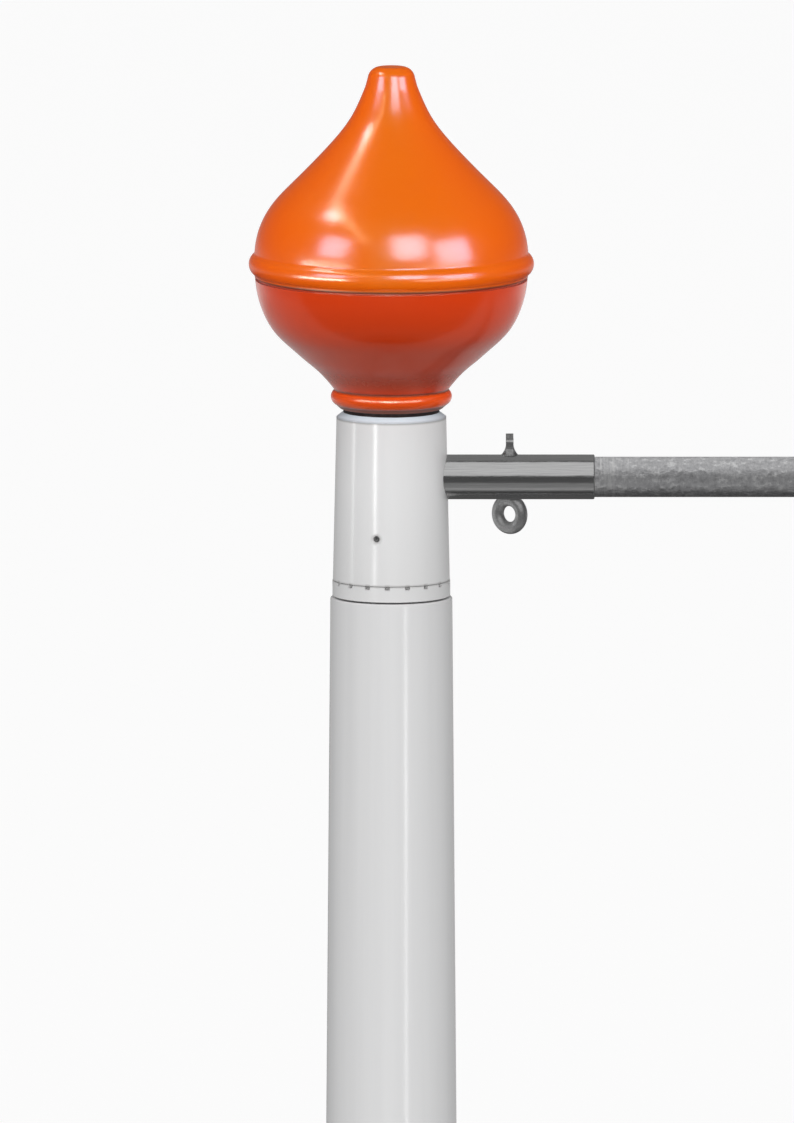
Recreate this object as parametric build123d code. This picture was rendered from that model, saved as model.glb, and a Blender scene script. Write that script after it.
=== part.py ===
from build123d import *
from math import cos, radians, sin, sqrt
import os

# Flagpole of six metres with a white mast on a hinged base plate, a swivelling head with a
# banner arm and an onion finial. Millimetres. The origin is on the mast's axis at the underside
# of the lower plate, +Z is up, the arm points along +X and the base hinge is on the -X side.

# Fits
running_fit = 0.05
close_fit = 0.3

# Base plates
plate_thickness = 8.0
plate_gap = 36.0
plate_edge_distance = 89.0
plate_edge_angle = 30.0
plate_half_width = 112.0
plate_nose_radius = 30.0
plate_side_radius = 40.0
plate_corner_radius = 3.0
plate_hinge_setback = 11.5

# Hinge
hinge_distance = 90.0
pin_diameter = 14.0
middle_knuckle_width = 62.0
end_knuckle_width = 31.0
knuckle_side_gap = 1.5
knuckle_wrap_angle = 262.0
tongue_tail = 7.6
tongue_swing_gap = 0.9
tongue_relief = 3.0
joggle_radius = 12.0
joggle_angle = 60.0
pin_head_height = 8.8
pin_nut_height = 10.0
pin_nut_collar_height = 3.6
pin_hex_across_flats = 21.0

# Ground studs, nuts, washers and caps
stud_circle_radius = 104.0
stud_count = 3
stud_diameter = 16.0
stud_hole_diameter = 18.0
stud_slot_reach = 33.0
stud_overlap = 5.0
nut_across_flats = 24.0
nut_height = 13.0
washer_diameter = 36.0
washer_thickness = 3.0
cap_diameter = 33.6
cap_height = 27.5
cap_skirt_height = 10.5
cap_step = 1.6

# Mast
mast_height = 5735.0
mast_foot_diameter = 114.0
mast_top_diameter = 60.5
mast_straight_height = 2400.0
mast_wall = 4.5
mast_lip_chamfer = 0.6
foot_ring_width = 4.5
foot_ring_height = 3.0
spigot_height = 250.0
spigot_wall = 4.0
foot_screw_height = 52.0
foot_screw_diameter = 8.0
foot_screw_head_diameter = 14.0
foot_screw_head_height = 2.4
foot_screw_socket = 5.0
top_plug_height = 70.0

# Swivelling head, heights above the mast's top
thrust_washer_diameter = 48.0
thrust_washer_thickness = 0.8
head_ring_diameter = 58.4
head_seam_height = 8.5
head_seam_gap = 0.2
head_top_height = 89.7
sleeve_foot_diameter = 58.0
sleeve_top_diameter = 54.4
sleeve_bore_diameter = 49.2
lower_bush_height = 48.0
spindle_head_room = 6.8
upper_bush_flange = 2.8
upper_bush_chamfer = 3.3
spindle_diameter = 16.0
spindle_depth = 60.0
spindle_head_height = 10.0
spindle_across_flats = 24.0
head_notch_count = 18
head_notch_width = 2.4
head_notch_height = 1.4
head_notch_depth = 3.0
head_notch_angle = -94.0
set_screw_height = 32.3
set_screw_diameter = 3.0
set_screw_length = 6.0
set_screw_sunk = 1.0
set_screw_socket = 1.5
set_screw_dimple_diameter = 5.4
set_screw_dimple_depth = 0.5
set_screw_count = 3
set_screw_angle = -105.0

# Banner arm
arm_height = 59.8
arm_diameter = 20.0
arm_wall = 1.5
arm_start = 32.0
arm_end = 1000.0
socket_wall = 1.05
socket_end = 100.6
arm_plug_rim = 2.0
arm_plug_depth = 18.0
eye_distance = 58.6
eye_wire = 6.1
eye_hole = 7.9
eye_seat_drop = 7.4
eye_turn = -34.0
eye_shank_diameter = 6.0
eye_shank_end = 1.8
wing_hub_diameter = 8.4
wing_hub_height = 5.4
wing_span = 24.0
wing_height = 9.2
wing_thickness = 3.7
wing_tip_radius = 1.6
wing_rounding = 0.5
socket_end_chamfer = 0.4

# Onion finial, heights above its foot
gasket_diameter = 47.6
gasket_thickness = 1.9
finial_wall = 3.0
collar_height = 5.6
collar_radius = 30.0
collar_half = 3.6
collar_depth = 2.3
collar_foot_radius = 25.4
seam_height = 64.8
seam_radius = 67.4
seam_reveal = 1.2
seam_lap = 4.0
seam_lip_depth = 1.4
bead_height = 71.8
bead_radius = 70.6
bead_half = 5.1
bead_step = 0.4
bead_fillet = 1.5
tip_height = 169.9
tip_flat_radius = 4.5
tip_rounding = 1.2
tip_wall = 9.0
finial_stud_diameter = 10.0
finial_stud_depth = 16.0
finial_nut_across_flats = 17.0
finial_nut_height = 8.0

# Outline of the finial between its neck and seam and between its bead and tip: radius, height
bowl_curve = [(37.0, 19.2), (42.8, 24.0), (48.0, 28.6), (57.5, 37.6), (63.2, 47.0), (66.3, 56.6)]
dome_curve = [(65.7, 88.5), (59.5, 100.5), (48.6, 112.4), (36.8, 124.4), (26.0, 136.4), (18.0, 148.4)]
nub_base = (13.5, 158.6)
nub_side = (11.7, 164.6)

# Levels and places that follow from the sizes above
upper_plate_bottom = plate_thickness + plate_gap
upper_plate_top = upper_plate_bottom + plate_thickness
knuckle_bore_radius = pin_diameter / 2 + running_fit
knuckle_radius = knuckle_bore_radius + plate_thickness
knuckle_middle_radius = knuckle_bore_radius + plate_thickness / 2
pin_level = upper_plate_top - knuckle_radius
hinge_half_length = middle_knuckle_width / 2 + knuckle_side_gap + end_knuckle_width
plate_hinge_edge = -hinge_distance + plate_hinge_setback
hinge_pin_place = Pos(-hinge_distance, 0, pin_level)
mast_foot_level = upper_plate_top + foot_ring_height
stud_places = [
    Pos(stud_circle_radius * cos(radians(turn)), stud_circle_radius * sin(radians(turn)), 0)
    for turn in [360 / stud_count * number for number in range(stud_count)]
]
stud_top = upper_plate_top + washer_thickness + nut_height + stud_overlap
arm_level = mast_height + arm_height
socket_radius = arm_diameter / 2 + running_fit + socket_wall
bush_radius = sleeve_bore_diameter / 2 - running_fit
eye_drop = socket_radius + eye_seat_drop
gasket_level = mast_height + head_top_height + upper_bush_flange
finial_foot_level = gasket_level + gasket_thickness


def along_x(shape):
    """Turns a shape that stands on Z so that it lies along +X."""
    return Rot(0, 90, 0) * shape


def along_y(shape):
    """Turns a shape that stands on Z so that it lies along +Y."""
    return Rot(-90, 0, 0) * shape


def ring(outer, inner, height, level=0.0):
    """A flat-ended ring of two radii that stands on a level."""
    solid = Cylinder(outer, height, align=(Align.CENTER, Align.CENTER, Align.MIN))
    hole = Cylinder(inner, height, align=(Align.CENTER, Align.CENTER, Align.MIN))
    return Pos(0, 0, level) * (solid - hole)


def post(radius, height, level=0.0):
    """A round bar that stands on a level."""
    return Pos(0, 0, level) * Cylinder(radius, height, align=(Align.CENTER, Align.CENTER, Align.MIN))


def hexagon(across_flats, height, level=0.0):
    """A hexagonal prism with its corners turned down by a cone, as on a nut or a bolt head."""
    radius = across_flats / sqrt(3)
    prism = extrude(RegularPolygon(radius, 6), height)
    turned = chamfer(post(radius, height).edges().filter_by(GeomType.CIRCLE), radius - across_flats / 2)
    return Pos(0, 0, level) * (prism & turned)


def hex_nut(across_flats, height, bore_radius, level=0.0):
    return hexagon(across_flats, height, level) - post(bore_radius, height, level)


def revolved(edges):
    """A solid turned round the Z axis from edges drawn as radius and height."""
    return revolve(Plane.XZ * make_face(edges), Axis.Z)


def bent_strip(start, heading, thickness, steps):
    """The side view of a bent plate. Each step is a straight length, or a middle radius and a turn."""
    side = Vector(-sin(radians(heading)), cos(radians(heading))) * (thickness / 2)
    way = Vector(cos(radians(heading)), sin(radians(heading)))
    edges = []
    ends = []
    for offset in (1, -1):
        point = Vector(*start) + side * offset
        ends.append(point)
        tangent = way
        for radius, amount in steps:
            if radius:
                reach = radius - offset * thickness / 2 * (1 if amount > 0 else -1)
                edge = JernArc(start=point, tangent=tangent, radius=reach, arc_size=amount)
            else:
                edge = Line(point, point + tangent * amount)
            edges.append(edge)
            point = edge @ 1
            tangent = edge % 1
        ends.append(point)
    edges += [Line(ends[0], ends[2]), Line(ends[1], ends[3])]
    return make_face(edges)


def rolled_plate(side_view, width, centre):
    """A strip's side view in the XZ plane, given its width along Y."""
    return Pos(0, centre, 0) * extrude(Plane.XZ * side_view, width / 2, both=True)


def plate_outline():
    """Three-sided plate with a straight hinge side, two slanting sides and a round nose."""
    apex = plate_edge_distance / sin(radians(plate_edge_angle))
    shoulder = (plate_edge_distance - plate_half_width * cos(radians(plate_edge_angle))) / sin(
        radians(plate_edge_angle)
    )
    corners = [
        (plate_hinge_edge, -plate_half_width),
        (shoulder, -plate_half_width),
        (apex, 0),
        (shoulder, plate_half_width),
        (plate_hinge_edge, plate_half_width),
    ]
    outline = make_face(Polyline(*corners, close=True))
    by_x = outline.vertices().sort_by(Axis.X)
    outline = fillet(by_x[-1], plate_nose_radius)
    outline = fillet(outline.vertices().sort_by(Axis.X)[:2], plate_corner_radius)
    shoulders = [v for v in outline.vertices() if abs(v.X - shoulder) < plate_corner_radius]
    return fillet(shoulders, plate_side_radius)


def make_lower_plate():
    plate = extrude(plate_outline(), plate_thickness)
    for place in stud_places:
        plate -= place * post(stud_hole_diameter / 2, plate_thickness)
    rise = pin_level - knuckle_middle_radius - plate_thickness / 2
    slope = (rise - 2 * joggle_radius * (1 - cos(radians(joggle_angle)))) / sin(radians(joggle_angle))
    run = 2 * joggle_radius * sin(radians(joggle_angle)) + slope * cos(radians(joggle_angle))
    tongue_start = -hinge_distance + run
    relief_width = middle_knuckle_width + 2 * tongue_relief
    plate -= Pos(tongue_start, 0, 0) * Box(
        run, relief_width, plate_thickness, align=(Align.MAX, Align.CENTER, Align.MIN)
    )
    side_view = bent_strip(
        (tongue_start + tongue_relief, plate_thickness / 2),
        180,
        plate_thickness,
        [
            (0, tongue_relief),
            (joggle_radius, -joggle_angle),
            (0, slope),
            (joggle_radius, joggle_angle),
            (knuckle_middle_radius, -180),
            (0, tongue_tail),
        ],
    )
    return plate + rolled_plate(side_view, middle_knuckle_width, 0)


def make_upper_plate():
    plate = extrude(plate_outline(), plate_thickness)
    gap_width = middle_knuckle_width + 2 * knuckle_side_gap
    lip = Box(plate_hinge_setback, gap_width, plate_thickness, align=(Align.MAX, Align.CENTER, Align.MIN))
    plate += Pos(plate_hinge_edge, 0, 0) * lip
    slot_travel = stud_slot_reach - stud_hole_diameter / 2
    slot = extrude(SlotCenterToCenter(slot_travel, stud_hole_diameter), plate_thickness)
    for place in stud_places:
        plate -= place * Pos(slot_travel / 2, 0, 0) * slot
    plate = Pos(0, 0, upper_plate_bottom) * plate
    swing_radius = sqrt(tongue_tail**2 + knuckle_radius**2) + tongue_swing_gap
    plate -= hinge_pin_place * along_y(Cylinder(swing_radius, gap_width))
    side_view = bent_strip(
        (plate_hinge_edge, upper_plate_top - plate_thickness / 2),
        180,
        plate_thickness,
        [(0, plate_hinge_setback), (knuckle_middle_radius, knuckle_wrap_angle)],
    )
    for side in (-1, 1):
        centre = side * (hinge_half_length - end_knuckle_width / 2)
        plate += rolled_plate(side_view, end_knuckle_width, centre)
    return plate


def make_hinge_bolt():
    shank_length = 2 * hinge_half_length + pin_nut_height + pin_nut_collar_height + 1
    shank = post(pin_diameter / 2, shank_length, -hinge_half_length)
    shank = chamfer(shank.edges().sort_by(Axis.Z)[-1], 1)
    head = hexagon(pin_hex_across_flats, pin_head_height, -hinge_half_length - pin_head_height)
    return hinge_pin_place * along_y(shank + head)


def make_hinge_nut():
    """Lock nut with a rounded collar over its insert."""
    bore = pin_diameter / 2 + running_fit
    nut = hex_nut(pin_hex_across_flats, pin_nut_height, bore, hinge_half_length)
    collar_foot = hinge_half_length + pin_nut_height
    collar = ring(pin_hex_across_flats / 2 - 1, bore, pin_nut_collar_height, collar_foot)
    collar = fillet(collar.edges().group_by(Axis.Z)[-1].sort_by(SortBy.LENGTH)[-1], pin_nut_collar_height / 2)
    return hinge_pin_place * along_y(nut + collar)


def make_studs():
    stud = chamfer(post(stud_diameter / 2, stud_top).edges().sort_by(Axis.Z)[-1], 1.5)
    return [place * stud for place in stud_places]


def make_nut_and_washer(washer_level, nut_level):
    bore = stud_diameter / 2 + running_fit
    washer = ring(washer_diameter / 2, bore + close_fit, washer_thickness, washer_level)
    nut = hex_nut(nut_across_flats, nut_height, bore, nut_level)
    return washer, nut


def make_stud_cap():
    """Push-on cap with a plain skirt, a step and a dome."""
    skirt = cap_diameter / 2
    shoulder = skirt - cap_step
    dome_level = cap_height - shoulder
    edges = Polyline(
        (0, 0), (skirt, 0), (skirt, cap_skirt_height), (shoulder, cap_skirt_height), (shoulder, dome_level)
    )
    dome = JernArc(start=(shoulder, dome_level), tangent=(0, 1), radius=shoulder, arc_size=90)
    body = revolved([*edges.edges(), dome, Line(dome @ 1, (0, 0))])
    step_edges = body.edges().filter_by(GeomType.CIRCLE).group_by(Axis.Z)[1]
    body = fillet(step_edges.sort_by(SortBy.LENGTH)[-1], cap_step / 2)
    over_nut = post(nut_across_flats / sqrt(3) + close_fit, nut_height + close_fit)
    over_stud = post(stud_diameter / 2 + close_fit, nut_height + stud_overlap + close_fit)
    return body - over_nut - over_stud


def mast_profile(inset):
    """Half of the mast's long section, moved inwards by the thickness of its wall or by none."""
    foot = mast_foot_diameter / 2 - inset
    top = mast_top_diameter / 2 - inset
    return make_face(
        Polyline(
            (0, mast_foot_level), (foot, mast_foot_level), (foot, mast_straight_height),
            (top, mast_height), (0, mast_height), close=True,
        )
    )


def foot_screw_sides():
    return [Rot(0, 0, turn) * Pos(0, 0, upper_plate_top + foot_screw_height) for turn in (0, 180)]


def make_mast_tube():
    outer = revolve(Plane.XZ * mast_profile(0), Axis.Z)
    outer = chamfer(outer.edges().sort_by(Axis.Z)[-1], mast_lip_chamfer)
    tube = outer - revolve(Plane.XZ * mast_profile(mast_wall), Axis.Z)
    for side in foot_screw_sides():
        hole = post(foot_screw_diameter / 2 + close_fit, mast_foot_diameter / 2)
        tube -= side * along_x(hole)
    return tube


def make_foot_spigot():
    radius = mast_foot_diameter / 2 - mast_wall - close_fit
    spigot = ring(radius, radius - spigot_wall, spigot_height, upper_plate_top)
    for side in foot_screw_sides():
        spigot -= side * along_x(post(foot_screw_diameter / 2 + running_fit, radius))
    return spigot


def make_foot_screw(side):
    start = mast_foot_diameter / 2 - mast_wall - close_fit - spigot_wall - 2
    face = mast_foot_diameter / 2
    shank = post(foot_screw_diameter / 2, face - start, start)
    head = post(foot_screw_head_diameter / 2, foot_screw_head_height, face)
    head = fillet(head.edges().sort_by(Axis.Z)[-1], foot_screw_head_height / 2)
    socket = extrude(RegularPolygon(foot_screw_socket / sqrt(3), 6), foot_screw_head_height)
    return side * along_x(shank + head - Pos(0, 0, face + foot_screw_head_height / 3) * socket)


def make_top_plug():
    radius = mast_top_diameter / 2 - mast_wall - 2 * running_fit
    level = mast_height - top_plug_height
    return ring(radius, spindle_diameter / 2 + running_fit, top_plug_height, level)


def make_spindle():
    """Shoulder bolt that the head turns on, with its head inside the sleeve."""
    foot = mast_height - spindle_depth
    seat = mast_height + lower_bush_height + close_fit
    bolt = post(spindle_diameter / 2, seat - foot, foot)
    return bolt + hexagon(spindle_across_flats, spindle_head_height, seat)


def set_screw_places():
    step = 360 / set_screw_count
    level = mast_height + set_screw_height
    return [Pos(0, 0, level) * Rot(0, 0, set_screw_angle + step * n) for n in range(set_screw_count)]


def cut_set_screw_holes(solid):
    for place in set_screw_places():
        solid -= place * along_x(post(set_screw_diameter / 2 + running_fit, sleeve_foot_diameter))
    return solid


def sleeve_radius_at(height):
    share = (height - head_seam_height) / (head_top_height - head_seam_height)
    return (sleeve_foot_diameter + (sleeve_top_diameter - sleeve_foot_diameter) * share) / 2


def make_lower_bush():
    """Bearing bush whose foot shows as a ring under the sleeve, notched along its upper edge."""
    foot = mast_height + thrust_washer_thickness
    bore = spindle_diameter / 2 + running_fit
    flange = ring(head_ring_diameter / 2, bore, mast_height + head_seam_height - foot, foot)
    flange = chamfer(flange.edges().filter_by(GeomType.CIRCLE).sort_by(SortBy.LENGTH)[-2:], head_seam_gap)
    notch = Box(head_notch_depth * 2, head_notch_width, head_notch_height * 2)
    notch = Pos(head_ring_diameter / 2, 0, mast_height + head_seam_height) * notch
    for number in range(head_notch_count):
        flange -= Rot(0, 0, head_notch_angle + 360 / head_notch_count * number) * notch
    body = ring(bush_radius, bore, lower_bush_height - head_seam_height, mast_height + head_seam_height)
    return cut_set_screw_holes(flange + body)


def make_upper_bush():
    """Plug in the sleeve's top with a chamfered rim and a threaded hole for the finial's stud."""
    foot = mast_height + lower_bush_height + close_fit + spindle_head_height + spindle_head_room
    bore = finial_stud_diameter / 2 + running_fit
    body = ring(bush_radius, bore, mast_height + head_top_height - foot, foot)
    rim = ring(sleeve_top_diameter / 2, bore, upper_bush_flange, mast_height + head_top_height)
    top_edge = rim.edges().group_by(Axis.Z)[-1].sort_by(SortBy.LENGTH)[-1]
    rim = chamfer(top_edge, upper_bush_flange * 0.9, upper_bush_chamfer)
    return body + rim


def make_head_sleeve():
    foot = head_seam_height + head_seam_gap
    outer = make_face(
        Polyline(
            (0, mast_height + foot), (sleeve_radius_at(foot), mast_height + foot),
            (sleeve_top_diameter / 2, mast_height + head_top_height), (0, mast_height + head_top_height),
            close=True,
        )
    )
    sleeve = revolve(Plane.XZ * outer, Axis.Z)
    sleeve -= post(sleeve_bore_diameter / 2, head_top_height - foot, mast_height + foot)
    face = sleeve_radius_at(set_screw_height)
    dimple = Cone(0, set_screw_dimple_diameter, 2 * set_screw_dimple_depth)
    for place in set_screw_places():
        sleeve -= place * along_x(Pos(0, 0, face) * dimple)
    return cut_set_screw_holes(sleeve)


def make_set_screw(place):
    face = sleeve_radius_at(set_screw_height) - set_screw_sunk
    screw = post(set_screw_diameter / 2, set_screw_length, face - set_screw_length)
    screw = chamfer(screw.edges().sort_by(Axis.Z)[-1], set_screw_socket / 5)
    socket = extrude(RegularPolygon(set_screw_socket / sqrt(3), 6), set_screw_length)
    return place * along_x(screw - Pos(0, 0, face - set_screw_socket) * socket)


def eye_bolt_hole():
    radius = eye_shank_diameter / 2 + running_fit
    return Pos(eye_distance, 0, arm_level) * Cylinder(radius, 4 * socket_radius)


def sleeve_outside():
    """Solid cone of the sleeve's outer face, which the arm's socket is cut to."""
    low = sleeve_radius_at(arm_height - 2 * socket_radius)
    high = sleeve_radius_at(arm_height + 2 * socket_radius)
    return Pos(0, 0, arm_level) * Cone(low, high, 4 * socket_radius)


def make_arm_socket():
    tube = ring(socket_radius, arm_diameter / 2 + running_fit, socket_end)
    tube = chamfer(tube.edges().group_by(Axis.Z)[-1].sort_by(SortBy.LENGTH)[-1], socket_end_chamfer)
    return Pos(0, 0, arm_level) * along_x(tube) - sleeve_outside() - eye_bolt_hole()


def make_arm_tube():
    tube = ring(arm_diameter / 2, arm_diameter / 2 - arm_wall, arm_end - arm_start, arm_start)
    return Pos(0, 0, arm_level) * along_x(tube) - eye_bolt_hole()


def make_arm_plug():
    inner = arm_diameter / 2 - arm_wall - running_fit
    rim = post(arm_diameter / 2 - close_fit, arm_plug_rim, arm_end)
    rim = fillet(rim.edges().sort_by(Axis.Z)[-1], arm_plug_rim * 0.6)
    return Pos(0, 0, arm_level) * along_x(rim + post(inner, arm_plug_depth, arm_end - arm_plug_depth))


def make_eye_bolt():
    """Eye ring with a flat that seats under the socket, and its shank up through the arm."""
    wire = eye_wire / 2
    middle = eye_hole / 2 + wire
    eye = revolve(Plane.XZ * Pos(middle, 0) * Circle(wire), Axis.Z)
    eye = Pos(0, 0, -eye_drop) * Rot(0, 0, eye_turn) * Rot(90, 0, 0) * Rot(0, 0, 90) * eye
    above_seat = Box(eye_drop, eye_drop, eye_drop, align=(Align.CENTER, Align.CENTER, Align.MIN))
    eye -= Pos(0, 0, -socket_radius) * above_seat
    foot = middle - eye_drop
    shank = post(eye_shank_diameter / 2, socket_radius + eye_shank_end - foot, foot)
    return Pos(eye_distance, 0, arm_level) * (eye + shank)


def make_wing_nut():
    """Closed wing nut on top of the socket: a flared hub and two wings across the arm."""
    foot = (wing_hub_diameter / 2, 0)
    crown = (wing_thickness / 2, wing_hub_height)
    hub = revolved(
        [
            *Polyline((0, -socket_radius / 2), (foot[0], -socket_radius / 2), foot).edges(),
            ThreePointArc(foot, ((foot[0] + crown[0] * 2) / 3, wing_hub_height * 0.42), crown),
            *Polyline(crown, (0, wing_hub_height), (0, -socket_radius / 2)).edges(),
        ]
    )
    wing_tip = wing_span / 2
    shoulder = wing_tip - wing_height * 0.45
    outline = make_face(
        Polyline(
            (0, 0), foot, (wing_tip, wing_height / 2), (wing_tip, wing_height), (shoulder, wing_height),
            (0, wing_hub_height * 0.7), close=True,
        )
    )
    outline = fillet(outline.vertices().filter_by(lambda vertex: vertex.X > foot[0]), wing_tip_radius)
    wing = extrude(Plane.YZ * outline, wing_thickness / 2, both=True)
    wing = fillet(wing.edges().filter_by(Axis.X), wing_rounding)
    nut = Pos(eye_distance, 0, arm_level + socket_radius) * (hub + wing + mirror(wing, Plane.XZ))
    nut -= Pos(0, 0, arm_level) * along_x(post(socket_radius, socket_end))
    shank_hole = post(eye_shank_diameter / 2 + running_fit, eye_shank_end + close_fit + socket_radius)
    return nut - Pos(eye_distance, 0, arm_level) * shank_hole


def finial_curve(points, inset):
    """Curve points moved inwards for the wall's inner face."""
    return [(radius - inset, height) for radius, height in points]


def make_finial_bowl():
    """Lower shell with a rounded collar at its neck and a thin lip that the dome fits over."""
    neck = (collar_radius - collar_depth * 0.8, collar_height + collar_half)
    foot = (collar_foot_radius, 0)
    collar_low = (collar_radius - collar_depth, collar_height - collar_half)
    rim = (seam_radius, seam_height - seam_reveal / 2)
    shelf = (seam_radius - seam_lip_depth, rim[1])
    lip = (shelf[0], seam_height + seam_lap)
    lip_inside = (seam_radius - finial_wall, lip[1])
    inner_rim = (lip_inside[0], rim[1])
    inner_foot = (neck[0] - finial_wall, finial_wall)
    outer = Spline(neck, *bowl_curve, rim, tangents=[(0.75, 1), (0.1, 1)])
    inner = Spline(inner_foot, *finial_curve(bowl_curve, finial_wall), inner_rim, tangents=[(0, 1), (0.1, 1)])
    body = revolved(
        [
            Line((0, 0), foot),
            Line(foot, collar_low),
            ThreePointArc(collar_low, (collar_radius, collar_height), neck),
            outer,
            *Polyline(rim, shelf, lip, lip_inside, inner_rim).edges(),
            inner,
            *Polyline(inner_foot, (0, finial_wall), (0, 0)).edges(),
        ]
    )
    return Pos(0, 0, finial_foot_level) * (body - post(finial_stud_diameter / 2 + close_fit, finial_wall))


def make_finial_dome():
    """Upper shell with a bead round its rim, which hangs over the bowl's lip."""
    foot = (seam_radius + bead_step / 2, seam_height + seam_reveal / 2)
    bead_low = (seam_radius + bead_step, bead_height - bead_half)
    bead_high = (seam_radius + bead_step, bead_height + bead_half)
    rebate_foot = (seam_radius - seam_lip_depth + close_fit, foot[1])
    rebate_top = (rebate_foot[0], seam_height + seam_lap + close_fit)
    inner_foot = (seam_radius - finial_wall, rebate_top[1])
    tip = (tip_flat_radius, tip_height)
    outer = Spline(bead_high, *dome_curve, nub_base, nub_side, tangents=[(-0.05, 1), (-0.25, 1)])
    inner_curve = finial_curve(dome_curve, finial_wall)
    hollow_top = (nub_base[0] - finial_wall, tip_height - tip_wall)
    inner = Spline(inner_foot, *inner_curve, hollow_top, tangents=[(0, 1), (-0.2, 1)])
    nub_shoulder = ((nub_side[0] + tip_flat_radius) / 2 + tip_rounding, tip_height - tip_rounding)
    body = revolved(
        [
            Line(foot, bead_low),
            ThreePointArc(bead_low, (bead_radius, bead_height), bead_high),
            outer,
            ThreePointArc(nub_side, nub_shoulder, tip),
            *Polyline(tip, (0, tip_height), (0, hollow_top[1]), hollow_top).edges(),
            inner,
            *Polyline(inner_foot, rebate_top, rebate_foot, foot).edges(),
        ]
    )
    creases = body.edges().filter_by(GeomType.CIRCLE).group_by(Axis.Z)
    crease = [group[-1] for group in creases if abs(group[-1].center().Z - bead_high[1]) < 0.01]
    body = fillet(crease, bead_fillet)
    return Pos(0, 0, finial_foot_level) * body


def make_finial_stud():
    length = finial_stud_depth + upper_bush_flange + gasket_thickness + finial_wall + finial_nut_height + 3
    return post(finial_stud_diameter / 2, length, mast_height + head_top_height - finial_stud_depth)


def make_finial_nut():
    level = finial_foot_level + finial_wall
    bore = finial_stud_diameter / 2 + running_fit
    return hex_nut(finial_nut_across_flats, finial_nut_height, bore, level)


clamp_washer, clamp_nut = make_nut_and_washer(plate_thickness, plate_thickness + washer_thickness)
level_washer, level_nut = make_nut_and_washer(
    upper_plate_bottom - washer_thickness, upper_plate_bottom - washer_thickness - nut_height
)
top_washer, top_nut = make_nut_and_washer(upper_plate_top, upper_plate_top + washer_thickness)
top_cap = Pos(0, 0, upper_plate_top + washer_thickness) * make_stud_cap()

nodes = {
    "lower_plate": make_lower_plate(),
    "hinge_bolt": make_hinge_bolt(),
    "hinge_nut": make_hinge_nut(),
    "upper_plate": make_upper_plate(),
    "mast_tube": make_mast_tube(),
    "foot_spigot": make_foot_spigot(),
    "foot_ring": ring(
        mast_foot_diameter / 2 + foot_ring_width,
        mast_foot_diameter / 2 - mast_wall,
        foot_ring_height,
        upper_plate_top,
    ),
    "mast_top_plug": make_top_plug(),
    "swivel_bolt": make_spindle(),
    "thrust_washer": ring(
        thrust_washer_diameter / 2, spindle_diameter / 2 + close_fit, thrust_washer_thickness, mast_height
    ),
    "head_lower_bush": make_lower_bush(),
    "head_sleeve": make_head_sleeve(),
    "head_upper_bush": make_upper_bush(),
    "arm_socket": make_arm_socket(),
    "arm_tube": make_arm_tube(),
    "arm_end_plug": make_arm_plug(),
    "eye_bolt": make_eye_bolt(),
    "wing_nut": make_wing_nut(),
    "finial_gasket": ring(
        gasket_diameter / 2, finial_stud_diameter / 2 + close_fit, gasket_thickness, gasket_level
    ),
    "finial_bowl": make_finial_bowl(),
    "finial_dome": make_finial_dome(),
    "finial_stud": make_finial_stud(),
    "finial_nut": make_finial_nut(),
    "ground_studs": Compound(children=make_studs()),
    "clamp_washers": Compound(children=[place * clamp_washer for place in stud_places]),
    "clamp_nuts": Compound(children=[place * clamp_nut for place in stud_places]),
    "levelling_nuts": Compound(children=[place * level_nut for place in stud_places]),
    "levelling_washers": Compound(children=[place * level_washer for place in stud_places]),
    "stud_washers": Compound(children=[place * top_washer for place in stud_places]),
    "stud_nuts": Compound(children=[place * top_nut for place in stud_places]),
    "stud_caps": Compound(children=[place * top_cap for place in stud_places]),
    "foot_screws": Compound(children=[make_foot_screw(side) for side in foot_screw_sides()]),
    "set_screws": Compound(children=[make_set_screw(place) for place in set_screw_places()]),
}

os.makedirs("parts", exist_ok=True)
for name, solid in nodes.items():
    export_step(solid, "parts/" + name + ".step")
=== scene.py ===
import math

import bpy
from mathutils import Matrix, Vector


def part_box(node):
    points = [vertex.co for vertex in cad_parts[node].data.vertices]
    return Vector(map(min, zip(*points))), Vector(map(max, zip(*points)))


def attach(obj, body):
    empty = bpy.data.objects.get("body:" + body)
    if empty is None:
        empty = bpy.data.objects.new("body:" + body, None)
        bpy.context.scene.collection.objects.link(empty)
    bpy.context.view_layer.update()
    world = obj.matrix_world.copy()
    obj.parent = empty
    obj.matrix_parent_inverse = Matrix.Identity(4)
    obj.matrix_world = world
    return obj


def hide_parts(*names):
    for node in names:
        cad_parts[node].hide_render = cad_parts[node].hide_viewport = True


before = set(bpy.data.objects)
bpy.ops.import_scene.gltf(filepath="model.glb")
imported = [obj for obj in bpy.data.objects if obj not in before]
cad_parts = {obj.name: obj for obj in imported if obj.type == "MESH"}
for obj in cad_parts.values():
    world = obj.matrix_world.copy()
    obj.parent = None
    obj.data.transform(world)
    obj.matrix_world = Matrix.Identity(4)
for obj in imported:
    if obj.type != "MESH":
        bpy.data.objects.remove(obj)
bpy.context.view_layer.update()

# Camera. The pole's top is taken with a long lens, from a little above the finial. The picture takes
# in the last half metre of mast, the swivelling head and the start of the arm.
picture_height = 1123
metres_per_pixel = 0.0004955
camera_elevation = math.radians(7.8)
camera_lens = 800.0
camera_sensor = 36.0
camera_nearest = 0.1
camera_farthest = 2000
aim_right = 0.0028
aim_above_mast = 0.0175

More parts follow.
